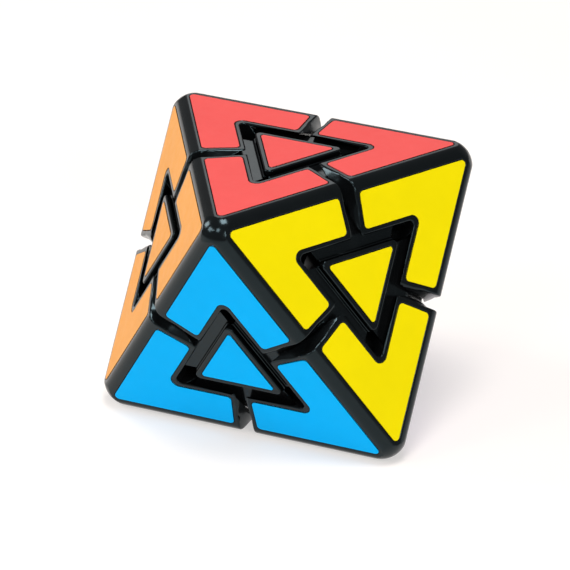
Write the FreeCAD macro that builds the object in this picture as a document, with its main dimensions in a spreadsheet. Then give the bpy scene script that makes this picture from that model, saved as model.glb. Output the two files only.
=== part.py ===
import FreeCAD, Part
import math
import os

# A vertex-turning octahedral twisty puzzle, about 76 mm along a sharp edge.
#
# Six vertex caps are screwed, each over a spring, to a six-armed core.  Under
# the caps lie twelve edge pieces, which the caps hold in, and between those
# sit eight face triangles, which the edge pieces hold in.  A turn about one
# vertex moves its cap, the four edge pieces beside it and the four triangles
# around it.
#
# Every piece is first made once, in the puzzle's own axes: the six vertices
# lie on +-X, +-Y and +-Z.  The copies are then turned into the part's frame,
# where one face is down, its opposite face is up and the origin is the centre.

doc = FreeCAD.newDocument("OctahedralPuzzle")

# ---------------------------------------------------------------- dimensions

DIMENSIONS = [
    # overall shape
    ("vertex_distance", 54.0, "centre to a vertex of the octahedron, if it were sharp"),
    ("edge_rounding", 2.9, "radius along the octahedron's edges"),
    ("vertex_rounding", 6.0, "radius at the octahedron's vertices"),
    # the surface that parts a turning layer from the rest
    ("running_gap", 0.15, "clearance on each side of every cut"),
    ("layer_depth", 12.1, "height of the cut plane above the centre, outside"),
    ("foot_depth", 7.0, "height of the cut plane above the centre, inside"),
    ("core_zone", 16.8, "radius of the ball kept free for the core"),
    ("foot_zone", 25.5, "radius of the ball that holds the feet"),
    ("layer_radius", 32.4, "radius of the layer where it leaves the cut plane"),
    ("neck_height", 22.3, "height of the layer's waist"),
    ("neck_radius", 23.2, "radius of the layer's waist"),
    ("flare_height", 25.8, "height where the layer's wall flares"),
    ("flare_radius", 23.95, "radius of the layer's wall there"),
    ("mouth_height", 28.5, "height where the layer's wall becomes a cylinder"),
    ("mouth_radius", 26.0, "radius of the layer's wall there"),
    ("tip_relief", 0.35, "further clearance under the ends of a cap's legs"),
    # the triangular well in each face
    ("well_offset", 10.15, "distance of the well's side from the nearest cut through the centre"),
    ("well_corner", 1.1, "corner radius of the well"),
    ("well_depth", 8.5, "depth of the well at its corners"),
    ("column_radius", 6.0, "radius of the cap's column left standing in the wells"),
    ("bar_drop", 1.4, "how far the bars on the edge pieces lie below the faces"),
    ("bed_drop", 2.1, "how far the edge pieces beside their bars lie below the faces"),
    ("bar_outer", 10.38, "distance of a bar's outer side, as for the well"),
    ("bar_inner", 11.75, "the same for its side by the triangle"),
    ("bar_root", 2.0, "height of a bar, most of it sunk in the edge piece"),
    ("bar_end_gap", 0.7, "how far a bar stops short of the cut at each end"),
    ("bar_corner", 0.8, "corner radius of a bar"),
    ("ridge_height", 32.0, "centre to the flat ridge of an edge piece"),
    ("triangle_side", 12.62, "distance of a face triangle's side, as for the well"),
    ("triangle_corner", 1.2, "corner radius of a face triangle"),
    # coloured tiles
    ("tile_thickness", 0.4, "thickness of a tile"),
    ("tile_proud", 0.1, "how far a tile stands above its face"),
    ("tile_outer", 2.1, "distance of a leg's outer side from the nearest centre plane"),
    ("tile_inner", 9.18, "the same for the side beside the well"),
    ("tile_end", 2.75, "distance of a leg's end from the middle of the edge"),
    ("tile_end_taper", 2.7, "lean of a leg's end, in degrees"),
    ("tile_corner", 1.0, "corner radius of a leg tile"),
    ("tile_inner_corner", 1.9, "radius of the corner between a tile's legs"),
    ("centre_tile_offset", 13.66, "distance of the triangle tile's side, as for the well"),
    ("centre_tile_corner", 0.6, "corner radius of the triangle tile"),
    # where the caps and triangles come apart
    ("split_height", 26.3, "top of the vertex base inside its shell"),
    ("split_radius", 10.2, "radius of the vertex base inside its shell"),
    ("foot_height", 27.0, "centre to the joint between a triangle and its foot"),
    ("peg_radius", 1.8, "peg that joins a triangle to its foot"),
    ("peg_height", 2.4, "height of that peg"),
    # core and tension hardware
    ("hub_radius", 9.0, "ball at the middle of the core"),
    ("arm_radius", 4.6, "arms of the core"),
    ("arm_reach", 16.5, "centre to the rounded end of an arm"),
    ("screw_radius", 1.45, "screw shank"),
    ("screw_start", 7.5, "height of the screw's point"),
    ("screw_seat", 24.0, "height of the underside of the screw's head"),
    ("head_radius", 2.9, "screw head"),
    ("head_height", 1.7, "thickness of the screw head"),
    ("cross_width", 0.7, "width of the cross in the head"),
    ("cross_length", 3.2, "length of the cross in the head"),
    ("cross_depth", 1.1, "depth of the cross in the head"),
    ("washer_thickness", 0.5, "washer under the screw's head"),
    ("washer_radius", 3.1, "outer radius of the washer"),
    ("washer_bore", 1.55, "inner radius of the washer"),
    ("spring_floor", 18.3, "height of the floor that the spring stands on"),
    ("spring_radius", 2.55, "radius of the spring at its wire's middle"),
    ("spring_wire", 0.35, "radius of the spring's wire"),
    ("spring_turns", 4.0, "turns of the spring"),
    ("spring_play", 0.05, "gap between the spring and what it presses on"),
    ("bore_radius", 1.75, "hole for the screw in the vertex base"),
    ("pocket_radius", 3.4, "pocket for the spring in the vertex base"),
]

sheet = doc.addObject("Spreadsheet::Sheet", "Dimensions")
for row, (alias, value, meaning) in enumerate(DIMENSIONS, start=1):
    sheet.set("A%d" % row, alias)
    sheet.set("B%d" % row, str(value))
    sheet.set("C%d" % row, meaning)
    sheet.setAlias("B%d" % row, alias)
doc.recompute()

X_AXIS = FreeCAD.Vector(1, 0, 0)
Y_AXIS = FreeCAD.Vector(0, 1, 0)
Z_AXIS = FreeCAD.Vector(0, 0, 1)
NO_TURN = FreeCAD.Rotation()


def size(alias):
    """The value of one driving dimension."""
    return float(sheet.get(alias))


def bind(obj, **expressions):
    """Tie properties of an object to the sheet; aliases are written in braces."""
    for prop, expression in expressions.items():
        text = expression.replace("{", "Dimensions.").replace("}", "")
        obj.setExpression(prop.replace("Base_", "Placement.Base."), text)
    return obj


def solid(kind, name, turn=NO_TURN, **expressions):
    """A Part primitive, turned, with its sizes tied to the sheet."""
    obj = doc.addObject("Part::" + kind, name)
    obj.Placement = FreeCAD.Placement(FreeCAD.Vector(), turn)
    return bind(obj, **expressions)


def fuse(name, *shapes):
    obj = doc.addObject("Part::MultiFuse", name)
    obj.Shapes = list(shapes)
    return obj


def common(name, *shapes):
    obj = doc.addObject("Part::MultiCommon", name)
    obj.Shapes = list(shapes)
    return obj


def cut(name, base, *tools):
    """A solid less some tools, taken off one after another."""
    for number, tool in enumerate(tools, start=1):
        last = number == len(tools)
        obj = doc.addObject("Part::Cut", name if last else "%s_less_%d" % (name, number))
        obj.Base = base
        obj.Tool = tool
        base = obj
    return base


def turned(name, source, turn):
    """The same solid again, turned about the centre."""
    obj = doc.addObject("Part::Compound", name)
    obj.Links = [source] if not isinstance(source, list) else source
    obj.Placement = FreeCAD.Placement(FreeCAD.Vector(), turn)
    return obj


def rounded(name, base, radius, direction, inner_radius=None):
    """Round the edges of a prism that run along a direction; the one nearest its middle may differ."""
    doc.recompute()
    obj = doc.addObject("Part::Fillet", name)
    obj.Base = base
    middle = base.Shape.Solids[0].CenterOfMass
    along = []
    for number, edge in enumerate(base.Shape.Edges, start=1):
        tangent = edge.tangentAt(edge.FirstParameter)
        if tangent.cross(direction).Length < 1e-6:
            along.append((edge.CenterOfMass.distanceToPoint(middle), number))
    nearest = min(along)[1]
    radii = {number: radius for _, number in along}
    if inner_radius is not None:
        radii[nearest] = inner_radius
    obj.Edges = [(number, value, value) for number, value in radii.items()]
    return obj


# ------------------------------------------------------------ outer surfaces

# A face's distance from the centre is the vertex distance over the root of three.
ROOT_THREE = math.sqrt(3.0)
FACE_NORMAL = FreeCAD.Vector(1, 1, 1).normalize()
# In the face's own axes, Y points at the +Z vertex and Z is the normal.
FACE_TURN = FreeCAD.Rotation(FreeCAD.Vector(-1, 1, 0), FreeCAD.Vector(-1, -1, 2), FACE_NORMAL, "ZYX")


def octahedron(name, reach):
    """A sharp octahedron whose vertices are a given expression from the centre."""
    halves = []
    for half, angle in (("upper", 90), ("lower", -90)):
        pyramid = solid(
            "Wedge", name + "_" + half, FreeCAD.Rotation(X_AXIS, angle),
            Xmin="-(%s) / sqrt(2)" % reach, Xmax="(%s) / sqrt(2)" % reach,
            Zmin="-(%s) / sqrt(2)" % reach, Zmax="(%s) / sqrt(2)" % reach,
            Ymin="0", Ymax=reach,
        )
        pyramid.X2min = pyramid.X2max = pyramid.Z2min = pyramid.Z2max = 0
        halves.append(pyramid)
    whole = doc.addObject("Part::Fuse", name)
    whole.Base, whole.Tool = halves
    whole.Refine = True
    # The wedges' corners lie between the axes, so the solid is turned by 45 degrees.
    return turned(name + "_on_axes", whole, FreeCAD.Rotation(Z_AXIS, 45))


def rounded_octahedron():
    """The outer form: a smaller octahedron grown by the edge radius."""
    inner = octahedron("inner_octahedron", "{vertex_distance} - {edge_rounding} * sqrt(3)")
    grown = doc.addObject("Part::Offset", "edge_rounded_octahedron")
    grown.Source = inner
    grown.Join = 0
    bind(grown, Value="{edge_rounding}")
    return grown


def vertex_trimmer():
    """What is taken off the tip on +Z so that it follows a larger ball."""
    ball_height = (
        "({vertex_distance} - {edge_rounding} * sqrt(3)"
        " - ({vertex_rounding} - {edge_rounding}) * sqrt(2))"
    )
    ball = solid("Sphere", "tip_ball", Radius="{vertex_rounding}", Base_z=ball_height)
    stub = solid(
        "Cylinder", "tip_stub", Radius="2 * {vertex_rounding}", Height="2 * {vertex_rounding}",
        Base_z=ball_height + " + {vertex_rounding} / sqrt(2)",
    )
    return cut("tip_trimmer", stub, ball)


outer_form = rounded_octahedron()
bed_form = octahedron("lowered_octahedron", "{vertex_distance} - {bed_drop} * sqrt(3)")

# ------------------------------------------------------- the turning surface


def layer(name, grow, turn, relief="0"):
    """The space of the layer about +Z, turned; grow is +1 outside a cut or -1 inside it.

    Outside it is a plane, a cone that narrows to a waist and a wall that widens
    again, all turned about the vertex axis.  Inside, within the foot zone, the
    plane lies deeper, and the core's ball is left out.
    """
    gap = "(%d * {running_gap})" % grow
    wide = "(%d * {running_gap} + %s)" % (grow, relief)
    skirt = solid(
        "Cone", name + "_skirt",
        Radius1="{layer_radius} + " + gap, Radius2="{neck_radius} + " + wide,
        Height="{neck_height} - {layer_depth} + " + gap, Base_z="{layer_depth} - " + gap,
    )
    throat = solid(
        "Cone", name + "_throat",
        Radius1="{neck_radius} + " + wide, Radius2="{flare_radius} + " + wide,
        Height="{flare_height} - {neck_height}", Base_z="{neck_height}",
    )
    flare = solid(
        "Cone", name + "_flare",
        Radius1="{flare_radius} + " + wide, Radius2="{mouth_radius} + " + wide,
        Height="{mouth_height} - {flare_height}", Base_z="{flare_height}",
    )
    chimney = solid(
        "Cylinder", name + "_chimney", Radius="{mouth_radius} + " + wide,
        Height="{vertex_distance} - {mouth_height}", Base_z="{mouth_height}",
    )
    foot_radius = "({foot_zone} + %s)" % gap
    foot = solid(
        "Sphere", name + "_foot", Radius=foot_radius,
        Angle1="asin(({foot_depth} - %s) / %s)" % (gap, foot_radius),
    )
    core_ball = solid("Sphere", name + "_core", Radius="{core_zone} - " + gap)
    whole = cut(name, fuse(name + "_body", skirt, throat, flare, chimney, foot), core_ball)
    return turned(name + "_turned", whole, turn)


TOWARD = {
    "+X": FreeCAD.Rotation(Y_AXIS, 90),
    "-X": FreeCAD.Rotation(Y_AXIS, -90),
    "+Y": FreeCAD.Rotation(X_AXIS, -90),
    "-Y": FreeCAD.Rotation(X_AXIS, 90),
    "+Z": NO_TURN,
}
inside = {way: layer("inside_" + way[1].lower(), -1, TOWARD[way]) for way in ("+X", "+Y", "+Z")}
outside = {}
relieved = {}
for way in ("+X", "-X", "+Y", "-Y"):
    sign = "plus_" if way[0] == "+" else "minus_"
    outside[way] = layer("outside_" + sign + way[1].lower(), 1, TOWARD[way])
    relieved[way] = layer("relieved_" + sign + way[1].lower(), 1, TOWARD[way], "{tip_relief}")

# ------------------------------------------------- outlines drawn on a face


def face_prism(name, offset, corner, depth, top):
    """A triangular prism on the +X+Y+Z face, its sides a given offset from the centre planes."""
    base = "({vertex_distance} / sqrt(3) + (%s) - (%s)) / sqrt(3)" % (top, depth)
    prism = solid(
        "Prism", name + "_sharp", FACE_TURN * FreeCAD.Rotation(Z_AXIS, 90),
        Circumradius="({vertex_distance} - 3 * %s) * sqrt(2 / 3)" % offset,
        Height=depth, Base_x=base, Base_y=base, Base_z=base,
    )
    prism.Polygon = 3
    if corner is None:
        return prism
    return rounded(name, prism, size(corner), FACE_NORMAL)


def leg_end(side):
    """What ends one leg of a chevron tile: side +1 is the leg toward +Y, -1 the one toward +X.

    The line through the middles of the edge and of the face lies 30 degrees above
    the face's own X; the leg stops short of it and its end leans away from it.
    """
    reach = size("vertex_distance")
    slab = reach / 5
    middle = (size("tile_outer") + size("tile_inner")) / 2
    along = (reach / 3 - middle) * math.sqrt(1.5)
    across = size("tile_end")
    to_edge = FreeCAD.Vector(side * math.cos(math.radians(30)), math.sin(math.radians(30)), 0)
    to_vertex = FreeCAD.Vector(-side * math.cos(math.radians(60)), math.sin(math.radians(60)), 0)
    lean = FreeCAD.Rotation(Z_AXIS, side * (30 + size("tile_end_taper")))
    corner = to_edge * along + to_vertex * across - lean.multVec(FreeCAD.Vector(reach, reach, 0))
    corner.z = reach / ROOT_THREE - slab / 2
    box = doc.addObject("Part::Box", "leg_end_plus" if side > 0 else "leg_end_minus")
    bind(box, Length="2 * {vertex_distance}", Width="{vertex_distance}", Height="{vertex_distance} / 5")
    box.Placement = FreeCAD.Placement(FreeCAD.Vector(), FACE_TURN) * FreeCAD.Placement(corner, lean)
    return box


def chevron_tile():
    """One three-sided sticker tile of a vertex cap, on its +X+Y+Z face."""
    blank = face_prism("chevron_blank", "{tile_outer}", None, "{tile_thickness}", "{tile_proud}")
    notch = face_prism("chevron_notch", "{tile_inner}", None, "{tile_thickness} + 2", "{tile_proud} + 1")
    sharp = cut("chevron_sharp", blank, notch, leg_end(+1), leg_end(-1))
    return rounded("chevron_tile", sharp, size("tile_corner"), FACE_NORMAL, size("tile_inner_corner"))


# ------------------------------------------------------------ one vertex cap


def around_z(name, source):
    """Four copies of a solid about the vertex axis."""
    return [
        turned("%s_%d" % (name, step), source, FreeCAD.Rotation(Z_AXIS, 90 * step))
        for step in range(4)
    ]


def make_vertex():
    """A vertex cap on +Z: shell, base and four tiles."""
    column = solid("Cylinder", "well_column", Radius="{column_radius}", Height="{vertex_distance}")
    prism = face_prism("well", "{well_offset}", "well_corner", "{well_depth} + 1", "1")
    wells = around_z("well_beside_column", cut("well_with_column", prism, column))
    block = common("cap_block", outer_form, inside["+Z"])
    whole = cut("cap_whole", block, *wells, *relieved.values(), vertex_trimmer())

    plug = solid("Cylinder", "cap_plug", Radius="{split_radius}", Height="{split_height}")
    tiles = around_z("chevron_tile_of_cap", chevron_tile())
    shell = cut("cap_shell", whole, plug, *tiles)

    bore = solid("Cylinder", "cap_bore", Radius="{bore_radius}", Height="{vertex_distance}")
    pocket = solid(
        "Cylinder", "cap_pocket", Radius="{pocket_radius}", Height="{vertex_distance}",
        Base_z="{spring_floor}",
    )
    base = cut("cap_base", common("cap_base_blank", whole, plug), bore, pocket)
    return {"shell": shell, "base": base, "tiles": tiles}


# ----------------------------------------------------------- one edge piece


def bar():
    """The raised bar of an edge piece beside the well in the +X+Y+Z face."""
    turn = FreeCAD.Rotation(FreeCAD.Vector(1, 0, -1), FreeCAD.Vector(-1, 2, -1), FACE_NORMAL, "ZYX")
    width = (size("bar_inner") - size("bar_outer")) * math.sqrt(1.5)
    level = size("vertex_distance") - (size("bar_drop") + size("bar_root")) * ROOT_THREE
    across = (size("bar_outer") + size("bar_inner")) / 2
    middle = FreeCAD.Vector((level - across) / 2, across, (level - across) / 2)
    reach = (size("vertex_distance") - size("bar_drop") * ROOT_THREE - across) / 2
    length = 2 * ((reach - size("layer_depth") - size("running_gap")) * math.sqrt(2) - size("bar_end_gap"))
    block = doc.addObject("Part::Box", "bar_block")
    bind(block, Height="{bar_root}")
    block.Length = length
    block.Width = width
    corner = middle - turn.multVec(FreeCAD.Vector(length / 2, width / 2, 0))
    block.Placement = FreeCAD.Placement(corner, turn)
    return rounded("bar", block, size("bar_corner"), FACE_NORMAL)


def make_edge():
    """An edge piece between +X and +Z, with a bar in each of its two wells and its ridge cut flat."""
    ridge = doc.addObject("Part::Box", "edge_ridge_limit")
    bind(ridge, Length="{vertex_distance}", Width="2 * {vertex_distance}", Height="{vertex_distance}")
    turn = FreeCAD.Rotation(Y_AXIS, -45)
    reach = size("vertex_distance")
    corner = turn.multVec(FreeCAD.Vector(size("ridge_height"), -reach, -reach / 2))
    ridge.Placement = FreeCAD.Placement(corner, turn)
    first_bar = bar()
    second_bar = turned("bar_in_second_well", first_bar, FreeCAD.Rotation(FreeCAD.Vector(1, 0, 1), 180))
    form = fuse("edge_form", bed_form, first_bar, second_bar)
    block = common("edge_block", form, inside["+X"], inside["+Z"])
    return cut("edge_whole", block, outside["+Y"], outside["-Y"], ridge)


# -------------------------------------------------------- one face triangle


def make_triangle():
    """A triangle on the +X+Y+Z face: cap, foot and tile."""
    outline = face_prism("triangle_outline", "{triangle_side}", "triangle_corner", "{vertex_distance}", "1")
    upper = common("triangle_upper", outer_form, outline, *inside.values())
    limit = face_prism("triangle_foot_limit", "(-{vertex_distance})", None, "{vertex_distance}",
                       "({foot_height} - {vertex_distance} / sqrt(3))")
    peg_top = "({foot_height} + {peg_height} - {vertex_distance} / sqrt(3))"
    peg = solid(
        "Cylinder", "triangle_peg", FACE_TURN, Radius="{peg_radius}", Height="2 * {peg_height}",
        Base_x="({foot_height} - {peg_height}) / sqrt(3)",
        Base_y="({foot_height} - {peg_height}) / sqrt(3)",
        Base_z="({foot_height} - {peg_height}) / sqrt(3)",
    )
    tile = face_prism(
        "centre_tile", "{centre_tile_offset}", "centre_tile_corner", "{tile_thickness}", "{tile_proud}",
    )
    cap = cut("triangle_cap", upper, limit, peg, tile)
    lower = common("triangle_lower", outer_form, *inside.values())
    foot = fuse("triangle_foot", common("triangle_foot_blank", lower, limit), peg)
    return {"cap": cap, "foot": foot, "tile": tile}


# ------------------------------------------------------------ core hardware


def make_core():
    """The core: a ball with six arms, bored for the screws."""
    rods = [
        solid("Cylinder", "core_rod_" + way[1].lower(), TOWARD[way], Radius="{arm_radius}",
              Height="2 * {arm_reach}")
        for way in ("+X", "+Y", "+Z")
    ]
    for rod, prop, sign in zip(rods, ("Base_x", "Base_y", "Base_z"), "---"):
        bind(rod, **{prop: sign + "{arm_reach}"})
    hub = solid("Sphere", "core_hub", Radius="{hub_radius}")
    reach = solid("Sphere", "core_reach", Radius="{arm_reach}")
    hole = solid(
        "Cylinder", "core_hole", Radius="{screw_radius}", Height="{arm_reach}",
        Base_z="{screw_start}",
    )
    holes = [turned("core_hole_" + name, hole, turn) for name, turn in VERTEX_TURNS.items()]
    return cut("core_whole", common("core_blank", fuse("core_cross", hub, *rods), reach), *holes)


def make_screw():
    """A pan head screw on +Z with a cross recess."""
    shank = solid(
        "Cylinder", "screw_shank", Radius="{screw_radius}", Height="{screw_seat} - {screw_start}",
        Base_z="{screw_start}",
    )
    head = solid(
        "Cylinder", "screw_head", Radius="{head_radius}", Height="{head_height}",
        Base_z="{screw_seat}",
    )
    slots = []
    for name, turn in (("first", NO_TURN), ("second", FreeCAD.Rotation(Z_AXIS, 90))):
        slot = solid(
            "Box", "screw_slot_" + name,
            Length="{cross_length}", Width="{cross_width}", Height="{cross_depth}",
            Base_x="-{cross_length} / 2", Base_y="-{cross_width} / 2",
            Base_z="{screw_seat} + {head_height} - {cross_depth}",
        )
        slots.append(turned("screw_slot_%s_turned" % name, slot, turn))
    return cut("screw", fuse("screw_blank", shank, head), *slots)


def make_washer():
    """The washer between the screw's head and the spring."""
    disc, hole = [
        solid("Cylinder", "washer_" + name, Radius=radius, Height="{washer_thickness}",
              Base_z="{screw_seat} - {washer_thickness}")
        for name, radius in (("disc", "{washer_radius}"), ("hole", "{washer_bore}"))
    ]
    return cut("washer", disc, hole)


def make_spring():
    """The compression spring that keeps a cap drawn to the core."""
    length = "({screw_seat} - {washer_thickness} - {spring_floor} - 2 * ({spring_wire} + {spring_play}))"
    helix = solid(
        "Helix", "spring_helix", Radius="{spring_radius}", Height=length,
        Pitch=length + " / {spring_turns}",
    )
    helix.SegmentLength = 0.5
    wire = solid("Circle", "spring_section", FreeCAD.Rotation(X_AXIS, 90), Radius="{spring_wire}",
                 Base_x="{spring_radius}")
    sweep = doc.addObject("Part::Sweep", "spring_coil")
    sweep.Sections = [wire]
    sweep.Spine = (helix, [])
    sweep.Solid = True
    sweep.Frenet = True
    return bind(sweep, Base_z="{spring_floor} + {spring_wire} + {spring_play}")


# --------------------------------------------------------- placing the copies

# Directions of the puzzle's own axes in the part's frame: +X points at the
# front top vertex, +Y at the right top one and +Z at the left top one.
TOP_TILT = math.asin(1 / ROOT_THREE)


def top_vertex(azimuth):
    """Unit vector from the centre to a vertex of the top face."""
    turn = math.radians(azimuth)
    return FreeCAD.Vector(
        math.cos(TOP_TILT) * math.cos(turn), math.cos(TOP_TILT) * math.sin(turn), math.sin(TOP_TILT),
    )


FRAME_TURN = FreeCAD.Rotation(top_vertex(-90), top_vertex(30), top_vertex(150), "ZXY")
AXES = (X_AXIS, Y_AXIS, Z_AXIS)
VERTEX_NAMES = {
    (0, 1): "front_top", (0, -1): "back_low",
    (1, 1): "right_top", (1, -1): "left_low",
    (2, 1): "left_top", (2, -1): "right_low",
}
FACE_NAMES = {
    (1, 1, 1): "top", (1, 1, -1): "right", (1, -1, -1): "front", (1, -1, 1): "left",
    (-1, 1, 1): "back", (-1, 1, -1): "back_right", (-1, -1, 1): "back_left", (-1, -1, -1): "bottom",
}


def axes_turn(x_to, z_to):
    """The turn that takes X and Z to two of the puzzle's axes."""
    return FreeCAD.Rotation(x_to, z_to.cross(x_to), z_to, "ZXY")


VERTEX_TURNS = {
    name: axes_turn(AXES[(axis + 1) % 3], AXES[axis] * sign)
    for (axis, sign), name in VERTEX_NAMES.items()
}


def edge_turns():
    """Name and turn of each edge piece; its name is that of the two faces it joins."""
    turns = {}
    for first, second in ((0, 1), (1, 2), (2, 0)):
        third = 3 - first - second
        for first_sign in (1, -1):
            for second_sign in (1, -1):
                faces = []
                for third_sign in (1, -1):
                    signs = [0, 0, 0]
                    signs[first], signs[second], signs[third] = first_sign, second_sign, third_sign
                    faces.append(FACE_NAMES[tuple(signs)])
                name = "edge_%s_to_%s" % tuple(faces)
                turns[name] = axes_turn(AXES[first] * first_sign, AXES[second] * second_sign)
    return turns


def face_turns():
    """Name and turn of each face triangle."""
    turns = {}
    for signs, name in FACE_NAMES.items():
        x_to, y_to, z_to = [axis * sign for axis, sign in zip(AXES, signs)]
        if signs[0] * signs[1] * signs[2] < 0:
            x_to, y_to = y_to, x_to
        turns[name] = axes_turn(x_to, z_to)
    return turns


nodes = []


def node(name, sources, turns):
    """A sub-part of the finished puzzle: one or more copies, placed in the part's frame."""
    copies = sources
    if len(turns) > 1:
        copies = [turned("%s_%d" % (name, number), sources[0], turn) for number, turn in enumerate(turns)]
    obj = turned(name, copies, FRAME_TURN if len(turns) > 1 else FRAME_TURN * turns[0])
    obj.Label = name
    nodes.append(obj)


vertex = make_vertex()
edge = make_edge()
triangle = make_triangle()
every_vertex = list(VERTEX_TURNS.values())

node("core_spider", [make_core()], [NO_TURN])
node("axle_screws", [make_screw()], every_vertex)
node("spring_washers", [make_washer()], every_vertex)
node("tension_springs", [make_spring()], every_vertex)
for vertex_name, vertex_turn in VERTEX_TURNS.items():
    node("vertex_shell_" + vertex_name, [vertex["shell"]], [vertex_turn])
    node("vertex_base_" + vertex_name, [vertex["base"]], [vertex_turn])
    node("vertex_tiles_" + vertex_name, vertex["tiles"], [vertex_turn])
for edge_name, edge_turn in edge_turns().items():
    node(edge_name, [edge], [edge_turn])
for face_name, face_turn in face_turns().items():
    node("face_cap_" + face_name, [triangle["cap"]], [face_turn])
    node("face_foot_" + face_name, [triangle["foot"]], [face_turn])
    node("face_tile_" + face_name, [triangle["tile"]], [face_turn])

# ------------------------------------------------------------ check and write

doc.recompute()
for obj in doc.Objects:
    if "Invalid" in obj.State or "Error" in obj.State:
        raise RuntimeError("%s failed: %s" % (obj.Name, obj.State))
for obj in nodes:
    shape = obj.Shape
    if shape.isNull() or not shape.isValid() or not shape.Solids:
        raise RuntimeError("%s has no valid solid" % obj.Label)

os.makedirs("parts", exist_ok=True)
for obj in nodes:
    obj.Shape.exportStep(os.path.join("parts", obj.Label + ".step"))
    print("%-34s %2d solids %10.2f mm3" % (obj.Label, len(obj.Shape.Solids), obj.Shape.Volume))
print("%d nodes" % len(nodes))
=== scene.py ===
import math

import bmesh
import bpy
from mathutils import Matrix, Vector


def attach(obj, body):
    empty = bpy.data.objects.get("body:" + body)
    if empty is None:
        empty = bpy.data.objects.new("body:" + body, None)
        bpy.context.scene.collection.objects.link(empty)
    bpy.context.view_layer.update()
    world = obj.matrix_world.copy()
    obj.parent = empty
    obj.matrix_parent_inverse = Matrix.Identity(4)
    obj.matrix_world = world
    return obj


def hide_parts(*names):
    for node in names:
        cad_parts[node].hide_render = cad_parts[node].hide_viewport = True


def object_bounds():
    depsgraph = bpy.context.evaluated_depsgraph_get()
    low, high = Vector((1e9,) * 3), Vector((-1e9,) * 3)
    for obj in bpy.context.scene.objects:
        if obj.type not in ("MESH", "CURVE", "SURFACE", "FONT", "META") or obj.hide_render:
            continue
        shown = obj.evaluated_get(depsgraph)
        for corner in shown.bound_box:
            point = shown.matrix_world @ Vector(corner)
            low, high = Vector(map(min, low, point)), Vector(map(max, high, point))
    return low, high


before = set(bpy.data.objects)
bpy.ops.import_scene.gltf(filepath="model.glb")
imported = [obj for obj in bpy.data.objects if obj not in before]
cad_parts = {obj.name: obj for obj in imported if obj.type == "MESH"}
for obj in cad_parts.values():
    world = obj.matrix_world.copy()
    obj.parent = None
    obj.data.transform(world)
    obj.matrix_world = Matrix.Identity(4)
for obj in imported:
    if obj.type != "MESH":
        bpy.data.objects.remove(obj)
cad_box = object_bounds()

MM = 0.001
MERGE_DISTANCE = 2e-6
FLAT_ANGLE = math.radians(0.3)
TILE_ROUNDING = 0.12 * MM
EDGE_PIECE_ROUNDING = 0.22 * MM
SHELL_ROUNDING = 0.35 * MM


def vertex_axis(azimuth):
    """The outward direction of one of the three raised vertices."""
    angle = math.radians(azimuth)
    level = math.sqrt(2 / 3)
    return Vector((level * math.cos(angle), level * math.sin(angle), math.sqrt(1 / 3)))


AXES = [vertex_axis(-90), vertex_axis(30), vertex_axis(150)]
VERTICES = ("front_top", "back_low", "right_top", "left_low", "left_top", "right_low")
# Each face's side of the three axes.
FACES = {
    "top": (1, 1, 1), "right": (1, 1, -1), "front": (1, -1, -1), "left": (1, -1, 1),
    "back": (-1, 1, 1), "back_right": (-1, 1, -1), "back_left": (-1, -1, 1),
    "bottom": (-1, -1, -1),
}
FACE_COLOURS = {
    "top": "red", "right": "yellow", "front": "blue", "left": "orange",
    "back": "green", "back_right": "violet", "back_left": "white", "bottom": "pink",
}
TILE_COLOURS = {
    "red": (0.71, 0.090, 0.084),
    "yellow": (0.79, 0.655, 0.001),
    "blue": (0.0, 0.425, 0.90),
    "orange": (0.78, 0.345, 0.085),
    "green": (0.03, 0.42, 0.08),
    "violet": (0.22, 0.07, 0.42),
    "white": (0.80, 0.80, 0.78),
    "pink": (0.80, 0.25, 0.42),
}


# ------------------------------------------------------------------ materials

class Nodes:
    """A short way to build a material's node tree."""

    def __init__(self, name):
        self.material = bpy.data.materials.new(name)
        self.material.use_nodes = True
        self.tree = self.material.node_tree
        self.tree.nodes.clear()
        self.output = self.tree.nodes.new("ShaderNodeOutputMaterial")
        self.shader = self.tree.nodes.new("ShaderNodeBsdfPrincipled")
        self.link(self.shader.outputs["BSDF"], self.output.inputs["Surface"])
        self.place = self.tree.nodes.new("ShaderNodeTexCoord").outputs["Object"]

    def link(self, source, target):
        self.tree.links.new(source, target)

    def noise(self, scale, detail=3.0, roughness=0.55):
        """Noise over the object, with that many features in a metre."""
        node = self.tree.nodes.new("ShaderNodeTexNoise")
        node.inputs["Scale"].default_value = scale
        node.inputs["Detail"].default_value = detail
        node.inputs["Roughness"].default_value = roughness
        self.link(self.place, node.inputs["Vector"])
        return node.outputs["Fac"]

    def span(self, value, low, high, start=0.3, end=0.7):
        """value from start to end becomes low to high."""
        node = self.tree.nodes.new("ShaderNodeMapRange")
        limits = {"From Min": start, "From Max": end, "To Min": low, "To Max": high}
        for key, number in limits.items():
            node.inputs[key].default_value = number
        self.link(value, node.inputs["Value"])
        return node.outputs["Result"]

    def mix(self, share, first, second):
        """A colour between two, by share."""
        node = self.tree.nodes.new("ShaderNodeMix")
        node.data_type = "RGBA"
        for key, colour in ((6, first), (7, second)):
            if isinstance(colour, tuple):
                node.inputs[key].default_value = (*colour, 1.0)
            else:
                self.link(colour, node.inputs[key])
        self.link(share, node.inputs[0])
        return node.outputs[2]

    def bump(self, height, distance, under=None):
        """A normal from a height of 0 to 1, that many metres deep."""
        node = self.tree.nodes.new("ShaderNodeBump")
        node.inputs["Distance"].default_value = distance
        node.inputs["Strength"].default_value = 1.0
        self.link(height, node.inputs["Height"])
        if under is not None:
            self.link(under, node.inputs["Normal"])
        return node.outputs["Normal"]


def scaled(colour, factor):
    return tuple(min(1.0, channel * factor) for channel in colour)


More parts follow.
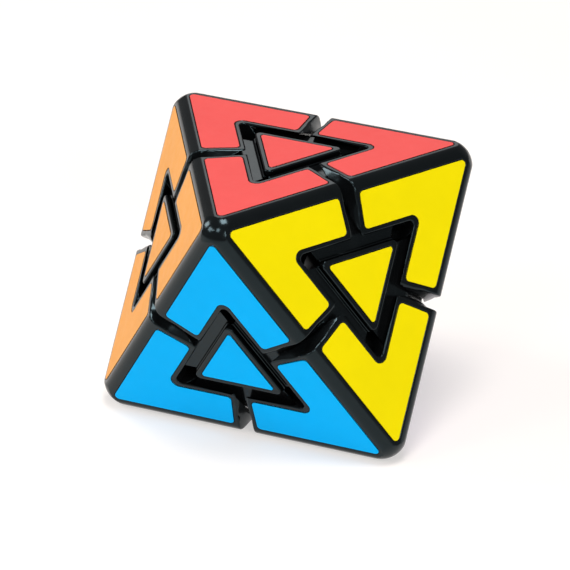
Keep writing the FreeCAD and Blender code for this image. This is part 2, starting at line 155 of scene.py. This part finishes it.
def plastic(name, colour, roughness, grain, waviness, specular, variation):
    """Moulded plastic: a little uneven in colour and gloss, with fine grain over slow waves."""
    n = Nodes(name)
    cloud = n.span(n.noise(90.0), 0.0, 1.0)
    n.link(
        n.mix(cloud, scaled(colour, 1 - variation), scaled(colour, 1 + variation)),
        n.shader.inputs["Base Color"],
    )
    n.link(
        n.span(n.noise(420.0, 4.0), roughness * 0.85, roughness * 1.2),
        n.shader.inputs["Roughness"],
    )
    waves = n.bump(n.noise(260.0, 1.0), waviness)
    n.link(n.bump(n.noise(5200.0, 2.0), grain, under=waves), n.shader.inputs["Normal"])
    n.shader.inputs["Specular IOR Level"].default_value = specular
    return n.material


def steel(name, colour, roughness):
    """Plated steel, with a fine uneven grain."""
    n = Nodes(name)
    n.shader.inputs["Metallic"].default_value = 1.0
    n.link(
        n.mix(n.span(n.noise(900.0), 0.0, 1.0), scaled(colour, 0.85), scaled(colour, 1.1)),
        n.shader.inputs["Base Color"],
    )
    n.link(
        n.span(n.noise(2600.0, 4.0), roughness * 0.7, roughness * 1.3),
        n.shader.inputs["Roughness"],
    )
    n.link(n.bump(n.noise(4200.0), 0.00001), n.shader.inputs["Normal"])
    return n.material


black = plastic(
    "black_plastic", (0.0032, 0.0036, 0.0040),
    roughness=0.16, grain=0.0000015, waviness=0.00001, specular=0.3, variation=0.2,
)
# The black plastic's reflections are a little blue-green.
black_shader = black.node_tree.nodes["Principled BSDF"]
black_shader.inputs["Specular Tint"].default_value = (0.62, 0.9, 1.0, 1.0)
inner = plastic(
    "inner_plastic", (0.012, 0.012, 0.013),
    roughness=0.42, grain=0.000006, waviness=0.00002, specular=0.4, variation=0.2,
)
tile_materials = {
    name: plastic(
        "tile_" + name, colour,
        roughness=0.42, grain=0.000002, waviness=0.000008, specular=0.04, variation=0.02,
    )
    for name, colour in TILE_COLOURS.items()
}
screw_steel = steel("screw_steel", (0.55, 0.56, 0.58), 0.3)
spring_steel = steel("spring_steel", (0.45, 0.46, 0.48), 0.35)


# --------------------------------------------------------------- moulded edges

def soften(obj, width):
    """Rounds an object's sharp edges to a moulded edge and shades it smoothly."""
    weld = obj.modifiers.new("weld", "WELD")
    weld.merge_threshold = MERGE_DISTANCE
    flat = obj.modifiers.new("flat", "DECIMATE")
    flat.decimate_type = "DISSOLVE"
    flat.angle_limit = FLAT_ANGLE
    edge = obj.modifiers.new("edge", "BEVEL")
    edge.limit_method = "ANGLE"
    edge.angle_limit = math.radians(32)
    edge.width = width
    edge.segments = 3
    edge.use_clamp_overlap = False
    edge.harden_normals = False
    shade = obj.modifiers.new("shade", "WEIGHTED_NORMAL")
    shade.weight = 60
    shade.keep_sharp = False


def give(obj, material):
    obj.data.materials.clear()
    obj.data.materials.append(material)


for name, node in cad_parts.items():
    if name.startswith("edge_"):
        give(node, black)
        soften(node, EDGE_PIECE_ROUNDING)
    elif name.startswith(("vertex_shell_", "face_cap_")):
        give(node, black)
        soften(node, SHELL_ROUNDING)
    elif name.startswith(("vertex_base_", "face_foot_", "core_")):
        give(node, inner)
    elif name in ("axle_screws", "spring_washers"):
        give(node, screw_steel)
    elif name == "tension_springs":
        give(node, spring_steel)


# ----------------------------------------------------------------------- tiles

def face_of(point):
    """The name of the face that a point on a tile belongs to."""
    signs = tuple(1 if point.dot(axis) > 0 else -1 for axis in AXES)
    return next(face for face, key in FACES.items() if key == signs)


def islands(mesh):
    """A bmesh for each separate solid of a mesh, in the order of their first vertices."""
    whole = bmesh.new()
    whole.from_mesh(mesh)
    bmesh.ops.remove_doubles(whole, verts=whole.verts, dist=MERGE_DISTANCE)
    left = dict.fromkeys(whole.verts)
    groups = []
    while left:
        first = next(iter(left))
        del left[first]
        stack, group = [first], set()
        while stack:
            vert = stack.pop()
            group.add(vert)
            for e in vert.link_edges:
                other = e.other_vert(vert)
                if other in left:
                    del left[other]
                    stack.append(other)
        groups.append(group)
    for group in groups:
        part = bmesh.new()
        made = {v: part.verts.new(v.co) for v in sorted(group, key=lambda v: v.index)}
        for f in whole.faces:
            if f.verts[0] in group:
                part.faces.new([made[v] for v in f.verts])
        yield part
    whole.free()


def make_tile(part, name, body, node, colour):
    """One coloured tile as its own piece."""
    mesh = bpy.data.meshes.new(name)
    bmesh.ops.dissolve_limit(
        part, angle_limit=FLAT_ANGLE, verts=part.verts, edges=part.edges
    )
    part.to_mesh(mesh)
    part.free()
    tile = bpy.data.objects.new(name, mesh)
    bpy.context.scene.collection.objects.link(tile)
    give(tile, tile_materials[colour])
    soften(tile, TILE_ROUNDING)
    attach(tile, body)
    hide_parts(node)


for vertex in VERTICES:
    node = "vertex_tiles_" + vertex
    for part in islands(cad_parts[node].data):
        middle = sum((v.co for v in part.verts), Vector()) / len(part.verts)
        face = face_of(middle)
        make_tile(
            part, f"chevron_{vertex}_{face}", "vertex_" + vertex, node, FACE_COLOURS[face]
        )
for face in FACES:
    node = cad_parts["face_tile_" + face]
    give(node, tile_materials[FACE_COLOURS[face]])
    soften(node, TILE_ROUNDING)


# ------------------------------------------------------- floor, lights, camera

FLOOR_GAP = 0.0001
FLOOR_HALF = 3.0
mesh = bpy.data.meshes.new("floor")
corners = [(x * FLOOR_HALF, y * FLOOR_HALF, 0) for x, y in ((-1, -1), (1, -1), (1, 1), (-1, 1))]
mesh.from_pydata(corners, [], [(0, 1, 2, 3)])
floor = bpy.data.objects.new("floor", mesh)
floor.location.z = cad_box[0].z - FLOOR_GAP
bpy.context.scene.collection.objects.link(floor)
paper = Nodes("floor_paper")
paper.link(
    paper.mix(paper.span(paper.noise(14.0), 0.0, 1.0), (0.49, 0.45, 0.42), (0.51, 0.47, 0.44)),
    paper.shader.inputs["Base Color"],
)
paper.shader.inputs["Roughness"].default_value = 0.9
paper.shader.inputs["Specular IOR Level"].default_value = 0.0
paper.shader.inputs["Emission Color"].default_value = (1.0, 0.985, 0.98, 1.0)
paper.shader.inputs["Emission Strength"].default_value = 0.51
give(floor, paper.material)

world = bpy.data.worlds.new("studio")
world.use_nodes = True
background = world.node_tree.nodes["Background"]
background.inputs["Color"].default_value = (1.0, 1.0, 1.0, 1.0)
background.inputs["Strength"].default_value = 0.2
bpy.context.scene.world = world


def softbox(name, place, size, power):
    """A square soft light at place, turned to the middle of the puzzle."""
    light = bpy.data.lights.new(name, "AREA")
    light.size = size
    light.energy = power
    lamp = bpy.data.objects.new(name, light)
    lamp.location = place
    lamp.rotation_mode = "QUATERNION"
    lamp.rotation_quaternion = (-Vector(place)).to_track_quat("-Z", "Y")
    bpy.context.scene.collection.objects.link(lamp)


softbox("overhead", (0.1, -0.1, 1.1), 0.4, 8.0)
softbox("left_side", (-0.9, -0.2, 0.6), 0.32, 4.0)
softbox("left_front", (-0.6, -0.6, 0.55), 0.25, 1.8)
softbox("front_high", (-0.02, -0.8, 0.75), 0.22, 1.5)
softbox("right_front", (0.75, -0.75, 0.5), 0.32, 4.5)
softbox("behind", (-0.35, 1.0, 0.55), 0.35, 0.5)

scene = bpy.context.scene
azimuth, elevation, roll = (math.radians(angle) for angle in (-23.21, 26.20, 0.62))
distance = 1.0283
outward = Vector((
    -math.cos(elevation) * math.sin(azimuth),
    -math.cos(elevation) * math.cos(azimuth),
    math.sin(elevation),
))
lens = bpy.data.cameras.new("camera")
lens.sensor_width = 36.0
lens.lens = 281.8
lens.shift_x = -0.0035
lens.shift_y = -0.0207
lens.clip_start, lens.clip_end = 0.05, 20.0
camera = bpy.data.objects.new("camera", lens)
scene.collection.objects.link(camera)
turn = (-outward).to_track_quat("-Z", "Y").to_matrix().to_4x4()
camera.matrix_world = Matrix.Translation(outward * distance) @ turn @ Matrix.Rotation(roll, 4, "Z")
scene.camera = camera
scene.view_settings.view_transform = "Standard"
